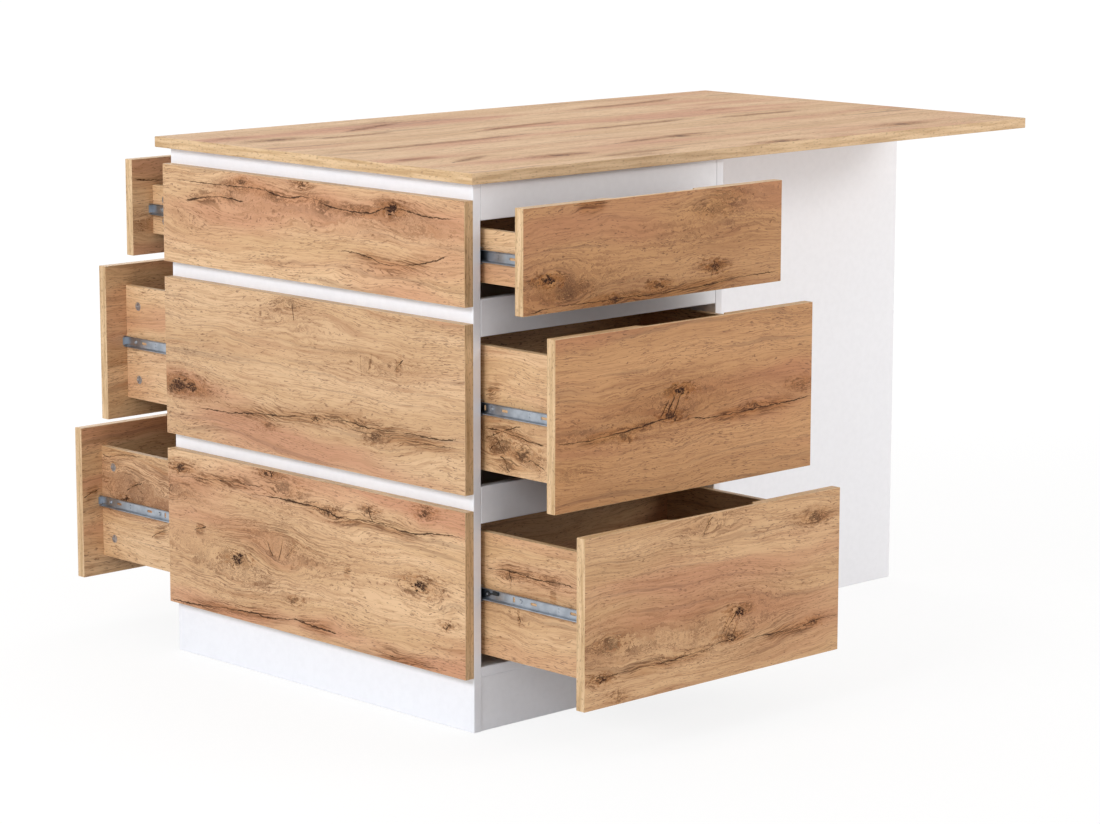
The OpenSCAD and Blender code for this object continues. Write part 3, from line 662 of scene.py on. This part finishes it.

# Each tint here is painted shade, which darkens the right-hand fronts, the top one most.
DRAWER_FRONTS = {
    "right_top_drawer_front": {
        "knots": [
            (-624, 739, 6, 1.0), (-592, 718, 12, 0.65), (-382, 708, 5, 0.85), (-253, 728, 5, 0.9),
            (-480, 695, 5, 0.85), (-250, 822, 10, 0.6), (-225, 838, 9, 0.55), (-590, 725, 24, 0.4),
            (-240, 800, 24, 0.35),
        ],
        "cracks": [
            (2.4, [(-675, 693), (-584, 696), (-502, 696), (-413, 696), (-333, 696), (-264, 699),
                   (-205, 703), (-97, 706)]),
            (2.8, [(-575, 851), (-532, 848), (-488, 851)]),
            (4.6, [(-262, 712), (-256, 728), (-252, 740)]),
        ],
        "seed": 4.2,
        "tint": "#dfc8a6",
    },
    "right_middle_drawer_front": {
        "knots": [
            (-405, 551, 6, 1.0), (-425, 513, 6, 0.9), (-121, 530, 6, 0.6), (-231, 506, 4, 0.8),
            (-528, 491, 4, 0.75), (-640, 505, 12, 0.4), (-657, 447, 12, 0.4), (-415, 532, 26, 0.45),
        ],
        "cracks": [
            (2.6, [(-677, 499), (-625, 495), (-571, 497), (-517, 502), (-450, 509), (-405, 512)]),
            (2.2, [(-382, 506), (-342, 500), (-260, 500), (-207, 502), (-159, 504), (-96, 507)]),
            (4.6, [(-438, 511), (-428, 527), (-416, 545)]),
            (4.6, [(-424, 508), (-413, 527), (-403, 548)]),
            (3.4, [(-449, 514), (-438, 528), (-430, 539)]),
        ],
        "seed": 5.5,
        "red": 0.2,
        "tint": "#e3ccae",
    },
    "right_bottom_drawer_front": {
        "knots": [
            (-335, 194, 6, 1.0), (-352, 155, 6, 0.9), (-156, 321, 7, 0.75), (-621, 187, 9, 0.7),
            (-600, 176, 24, 0.4), (-645, 137, 5, 0.95), (-606, 100, 4, 0.7), (-405, 345, 14, 0.45),
            (-348, 176, 26, 0.45), (-158, 148, 4, 0.8),
        ],
        "cracks": [
            (2.6, [(-645, 137), (-597, 139), (-547, 138), (-457, 141), (-412, 142), (-383, 148),
                   (-334, 151)]),
            (2.2, [(-313, 145), (-272, 144), (-182, 143), (-158, 148), (-93, 149)]),
            (4.6, [(-366, 158), (-357, 173), (-345, 186), (-336, 196)]),
            (4.0, [(-351, 155), (-340, 170), (-331, 184)]),
            (3.4, [(-374, 163), (-363, 176), (-354, 190)]),
            (4.5, [(-418, 328), (-409, 343), (-395, 357)]),
            (4.6, [(-610, 90), (-604, 111)]),
        ],
        "seed": 7.7,
        "tint": "#f6efe6",
    },
    "left_top_drawer_front": {
        "knots": [(-560, 800, 8, 0.75), (-300, 740, 8, 0.9), (-640, 742, 12, 0.45)],
        "cracks": [(2.4, [(-679, 822), (-560, 812), (-420, 818), (-300, 806)])],
        "seed": 8.9,
    },
    "left_middle_drawer_front": {
        "knots": [(-420, 560, 8, 0.9), (-220, 470, 14, 0.45), (-560, 440, 6, 0.8)],
        "cracks": [(2.4, [(-520, 452), (-400, 448), (-250, 455), (-95, 450)])],
        "seed": 9.8,
    },
    "left_bottom_drawer_front": {
        "knots": [(-350, 300, 8, 0.9), (-480, 190, 16, 0.45), (-200, 140, 6, 0.8)],
        "cracks": [
            (3.0, [(-676, 236), (-658, 242), (-640, 246)]),
            (2.4, [(-500, 120), (-380, 126), (-200, 118)]),
        ],
        "seed": 11.4,
    },
}
for node, marks in DRAWER_FRONTS.items():
    oak = wild_oak("wild_oak_laminate_" + node, "XZY", **marks)
    piece = board(node, "Y", oak, {"X": band_along_z, "Z": band_along_x})
    # The grip's faces lie inside the board's thickness or below its top edge
    low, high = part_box(node)
    piece.data.materials.append(milled_core)
    for face in piece.data.polygons:
        if all(low[a] + 2 * MM < face.center[a] < high[a] - 1 * MM for a in range(3)):
            face.material_index = len(piece.data.materials) - 1

# ------------------------------------------------------------------ drawer boxes
# Sides and backs are 12 mm boards in the same oak, with a band on the top edge. The bottom is a 3 mm
# hardboard panel in a groove. The sides that face the photograph have their own cracks and knots.

SIDE_MARKS = {
    "right_bottom_drawer_left_side": {
        "knots": [(-438, 262, 4, 0.75), (-527, 270, 12, 0.35), (-450, 205, 12, 0.3)],
        "cracks": [
            (2.8, [(-585, 267), (-553, 269), (-499, 267), (-440, 270), (-398, 267), (-380, 267)]),
            (2.4, [(-546, 245), (-524, 244)]),
            (3.0, [(-462, 194), (-452, 207)]),
            (5.0, [(-441, 255), (-434, 270)]),
        ],
        "seed": 12.3,
    },
    "right_middle_drawer_left_side": {
        "knots": [
            (-418, 468, 9, 0.75), (-463, 460, 8, 0.85), (-431, 440, 6, 0.7), (-400, 482, 10, 0.6),
            (-446, 486, 14, 0.4), (-488, 452, 10, 0.4),
        ],
        "cracks": [
            (2.6, [(-516, 483), (-488, 484), (-460, 488), (-431, 490), (-408, 493), (-394, 494),
                   (-380, 493)]),
            (2.4, [(-463, 506), (-448, 503), (-431, 496), (-414, 489), (-397, 483), (-381, 475)]),
            (2.2, [(-474, 461), (-463, 456), (-451, 463), (-437, 472), (-423, 475), (-403, 468),
                   (-388, 458)]),
            (3.4, [(-437, 431), (-431, 436), (-426, 446), (-414, 452)]),
            (4.0, [(-426, 454), (-417, 466), (-406, 477), (-397, 486)]),
            (2.0, [(-516, 444), (-499, 450), (-483, 454), (-468, 448)]),
            (1.8, [(-420, 558), (-397, 551), (-380, 545)]),
        ],
        "seed": 13.4,
        "red": 0.35,
    },
    "left_bottom_drawer_right_side": {
        "knots": [(565, 236, 5, 1.0), (552, 262, 30, 0.55)],
        "cracks": [
            (3.0, [(440, 199), (465, 192), (490, 179)]),
            (2.6, [(509, 320), (575, 315), (609, 309), (632, 311)]),
            (2.6, [(514, 273), (531, 269), (544, 262), (561, 254)]),
        ],
        "seed": 14.6,
    },
}
plain_sides = wild_oak("oak_laminate_of_box_sides", "YZX", seed=15.2)
plain_backs = wild_oak("oak_laminate_of_box_backs", "XZY", seed=16.3, red=0.1)

HARDBOARD_TONE = "#7a5a40"
HARDBOARD_FIBRE = "#5d422d"
HARDBOARD_ARRIS = 0.3 * MM


def hardboard():
    """Pressed wood fibre, brown and matt: a felt of 2.4 mm fibres, darker in patches 110 mm wide."""
    material, tree = new_material("brown_hardboard")
    place = add(tree, "TexCoord").outputs["Object"]
    felt = add(tree, "TexNoise", {"Vector": place, "Scale": 420.0, "Detail": 4.0, "Roughness": 0.7})
    cloud = add(tree, "TexNoise", {"Vector": place, "Scale": 9.0, "Detail": 3.0})
    share = add(tree, "MapRange", felt, 0.35, 0.7, **SMOOTH)
    colour = add(tree, "Mix", share, linear(HARDBOARD_TONE), linear(HARDBOARD_FIBRE), **COLOURS)
    share = add(tree, "MapRange", cloud, 0.4, 0.7, 0.0, 0.3, **SMOOTH)
    colour = add(tree, "Mix", share, colour, linear(HARDBOARD_FIBRE), **COLOURS)
    bump = add(tree, "Bump", {"Height": felt, "Strength": 0.3, "Distance": 0.2 * MM})
    return finished(material, {"Base Color": colour, "Roughness": 0.7, "Normal": bump})


brown_hardboard = hardboard()
BANKS = ("right", "left")
LEVELS = ("bottom", "middle", "top")
DRAWERS = [f"{bank}_{level}_drawer" for bank in BANKS for level in LEVELS]
for drawer in DRAWERS:
    for side in ("left_side", "right_side"):
        node = f"{drawer}_{side}"
        oak = plain_sides
        if node in SIDE_MARKS:
            oak = wild_oak("oak_laminate_" + node, "YZX", **SIDE_MARKS[node])
        board(node, "X", oak, {"Y": band_along_z, "Z": band_along_y})
    board(f"{drawer}_back", "Y", plain_backs, {"X": band_along_z, "Z": band_along_x})
    board(f"{drawer}_bottom_panel", "Z", brown_hardboard, {}, arris=HARDBOARD_ARRIS)

# ------------------------------------------------------------------ ball runners, cams and screws
# Runner members are rolled from 1 mm zinc-plated steel, blue-passivated, with faint rolling lines along
# them. The balls are bright steel. Cams and bolts are zinc die castings, brighter and rougher, and the
# screws look like them. The release levers are black plastic.

ZINC_BLUE = "#b4bac2"
ZINC_GREY = "#9da4ad"
CAST_ZINC = "#cfd1d4"
BALL_STEEL = "#d2d4d8"
LEVER_BLACK = "#17181a"
LEVER_GREY = "#232427"
ACETAL_IOR = 1.48
CREASE = math.radians(35)


def metal(name, light, dark, rough, scales):
    """Bare metal with blooms of tone 17 mm wide. Its gloss varies in streaks, whose scales are repeats
    per metre along X, Y and Z.
    """
    material, tree = new_material(name)
    place = add(tree, "TexCoord").outputs["Object"]
    drawn = add(tree, "VectorMath", place, scales, operation="MULTIPLY")
    streak = add(tree, "TexNoise", {"Vector": drawn, "Scale": 1.0, "Detail": 3.0, "Roughness": 0.6})
    bloom = add(tree, "TexNoise", {"Vector": place, "Scale": 60.0, "Detail": 3.0})
    share = add(tree, "MapRange", bloom, 0.35, 0.7, **SMOOTH)
    colour = add(tree, "Mix", share, linear(light), linear(dark), **COLOURS)
    gloss = add(tree, "Math", streak, 0.2, rough, operation="MULTIPLY_ADD")
    bump = add(tree, "Bump", {"Height": streak, "Strength": 0.15, "Distance": 0.1 * MM})
    return finished(
        material, {"Base Color": colour, "Metallic": 1.0, "Roughness": gloss, "Normal": bump}
    )


# Rolling lines are 1 mm apart and 80 mm long. A casting's grain is 1.4 mm wide, a ball's sheen 3 mm.
rolled_zinc = metal("blue_zinc_plated_steel", ZINC_BLUE, ZINC_GREY, 0.22, (900.0, 12.0, 900.0))
cast_zinc = metal("die_cast_zinc", CAST_ZINC, ZINC_BLUE, 0.26, (700.0, 700.0, 700.0))
ball_steel = metal("polished_ball_steel", BALL_STEEL, CAST_ZINC, 0.05, (300.0, 300.0, 300.0))


def lever_plastic():
    """Moulded black plastic with a spark-eroded texture 0.6 mm wide, which dulls its gloss."""
    material, tree = new_material("black_moulded_acetal")
    place = add(tree, "TexCoord").outputs["Object"]
    spark = add(tree, "TexNoise", {"Vector": place, "Scale": 1800.0, "Detail": 2.0})
    tone = add(tree, "Mix", spark, linear(LEVER_BLACK), linear(LEVER_GREY), **COLOURS)
    bump = add(tree, "Bump", {"Height": spark, "Strength": 0.2, "Distance": 0.1 * MM})
    return finished(
        material, {"Base Color": tone, "Roughness": 0.42, "IOR": ACETAL_IOR, "Normal": bump}
    )


black_plastic = lever_plastic()


def loose_parts(form):
    """The separate solids of a mesh, each as a list of faces."""
    left = set(form.faces)
    parts = []
    while left:
        first = left.pop()
        part, front = [first], [first]
        while front:
            face = front.pop()
            for edge in face.edges:
                for other in edge.link_faces:
                    if other in left:
                        left.discard(other)
                        part.append(other)
                        front.append(other)
        parts.append(part)
    return parts


def size_of(part):
    points = [v.co for face in part for v in face.verts]
    return Vector([max(p[a] for p in points) - min(p[a] for p in points) for a in range(3)])


def fitting_kind(part):
    """Which material a drawer's fitting has: 0 for a runner member, 2 for a lever, 1 for the rest."""
    size = size_of(part)
    if size.y > 300 * MM:
        return 0
    if 20 * MM < size.y < 40 * MM and size.x < 4 * MM:
        return 2
    return 1


def cage_kind(part):
    """0 for a ball cage, and 1 for a ball."""
    return 0 if size_of(part).y > 50 * MM else 1


def dress_fittings(node, materials, kind_of=None):
    """All solids of a node of fittings, each in its own metal, with smooth round faces."""
    form = stripped(node)
    if kind_of:
        for part in loose_parts(form):
            kind = kind_of(part)
            for face in part:
                face.material_index = kind
    for face in form.faces:
        face.smooth = True
    for edge in form.edges:
        edge.smooth = edge.is_manifold and edge.calc_face_angle(0) < CREASE
    finish_piece(form, node, materials)


for drawer in DRAWERS:
    dress_fittings(f"{drawer}_fittings", [rolled_zinc, cast_zinc, black_plastic], fitting_kind)
    dress_fittings(f"{drawer}_ball_cages", [rolled_zinc, ball_steel], cage_kind)
dress_fittings("cabinet_runners", [rolled_zinc])
dress_fittings("cabinet_cams", [cast_zinc])
dress_fittings("cabinet_screws", [cast_zinc])
dress_fittings("worktop_brackets", [rolled_zinc])

# ------------------------------------------------------------------ studio
# A white paper floor under soft lamps. The floor looks white to the camera and in gloss, and near the
# island it keeps part of its shadow. The lamps are large, so that shadows have no hard edge.

FLOOR_PAPER = "#efeeed"
FLOOR_WHITE = 1.03
FLOOR_REACH = 20
FLOOR_DROP = 0.5 * MM
AMBIENT = 0.56


def seen_directly(tree):
    """1 for what the camera sees itself, in gloss or through glass, and 0 for light on other things."""
    ray = add(tree, "LightPath").outputs
    mirrored = add(tree, "Math", ray["Is Camera Ray"], ray["Is Glossy Ray"], operation="MAXIMUM")
    return add(tree, "Math", mirrored, ray["Is Transmission Ray"], operation="MAXIMUM")


def paper():
    """Matt paper with a 2 mm tooth. Past 1.2 m from the island's middle it goes over to plain white."""
    material, tree = new_material("studio_paper")
    place = add(tree, "TexCoord").outputs["Object"]
    tooth = add(tree, "TexNoise", {"Vector": place, "Scale": 500.0, "Detail": 2.0})
    bump = add(tree, "Bump", {"Height": tooth, "Strength": 0.1, "Distance": 0.2 * MM})
    matt = {"Base Color": linear(FLOOR_PAPER), "Roughness": 0.9, "Normal": bump}
    away = add(tree, "VectorMath", place, operation="LENGTH")
    part = add(tree, "MapRange", away, 1.2, 4.0, 0.82, 1.0, **SMOOTH)
    share = add(tree, "Math", seen_directly(tree), part, operation="MULTIPLY")
    white = add(tree, "Emission", {"Strength": FLOOR_WHITE})
    mixed = add(tree, "MixShader", share, add(tree, "BsdfPrincipled", matt), white)
    add(tree, "OutputMaterial", mixed)
    return material


form = bmesh.new()
bmesh.ops.create_grid(form, x_segments=2, y_segments=2, size=FLOOR_REACH)
mesh = bpy.data.meshes.new("studio_floor")
form.to_mesh(mesh)
form.free()
mesh.materials.append(paper())
floor = bpy.data.objects.new("studio_floor", mesh)
floor.location.z = -FLOOR_DROP
bpy.context.scene.collection.objects.link(floor)

world = bpy.data.worlds.new("studio")
world.use_nodes = True
sky = world.node_tree
sky.nodes.clear()
strength = add(sky, "Math", seen_directly(sky), 1.0 - AMBIENT, AMBIENT, operation="MULTIPLY_ADD")
add(sky, "OutputWorld", add(sky, "Background", {"Color": (1, 1, 1, 1), "Strength": strength}))
bpy.context.scene.world = world


def lamp(name, place, aim, size, watts, tint=(1.0, 1.0, 1.0)):
    """A softbox at a place, turned to the point it aims at."""
    data = bpy.data.lights.new(name, "AREA")
    data.shape = "RECTANGLE"
    data.size, data.size_y = size
    data.energy = watts
    data.color = tint
    light = bpy.data.objects.new(name, data)
    light.location = place
    light.rotation_euler = (Vector(aim) - Vector(place)).to_track_quat("-Z", "Y").to_euler()
    bpy.context.scene.collection.objects.link(light)


# The key lights the false fronts, the right and low softboxes light the drawers and the support panel,
# and the back and top ones the far side and the worktop. The photograph's left side is a little cooler
# than its right side.
COOL, WARM = (0.94, 0.97, 1.0), (1.0, 0.965, 0.92)
lamp("key_softbox", (-5.0, -0.6, 2.8), (-0.2, 0.0, 0.5), (2.6, 1.4), 150, COOL)
lamp("right_softbox", (2.8, -4.8, 2.8), (0.3, 0.0, 0.5), (3.4, 1.2), 97, WARM)
lamp("low_softbox", (3.6, -3.8, 1.2), (0.3, 0.0, 0.5), (3.0, 1.2), 30, WARM)
lamp("back_softbox", (0.6, 4.8, 1.8), (0.0, 0.0, 0.5), (3.2, 1.4), 60)
lamp("top_softbox", (1.6, 1.6, 3.4), (0.0, 0.0, 0.5), (2.4, 2.0), 20)

bpy.context.scene.view_settings.view_transform = "Standard"
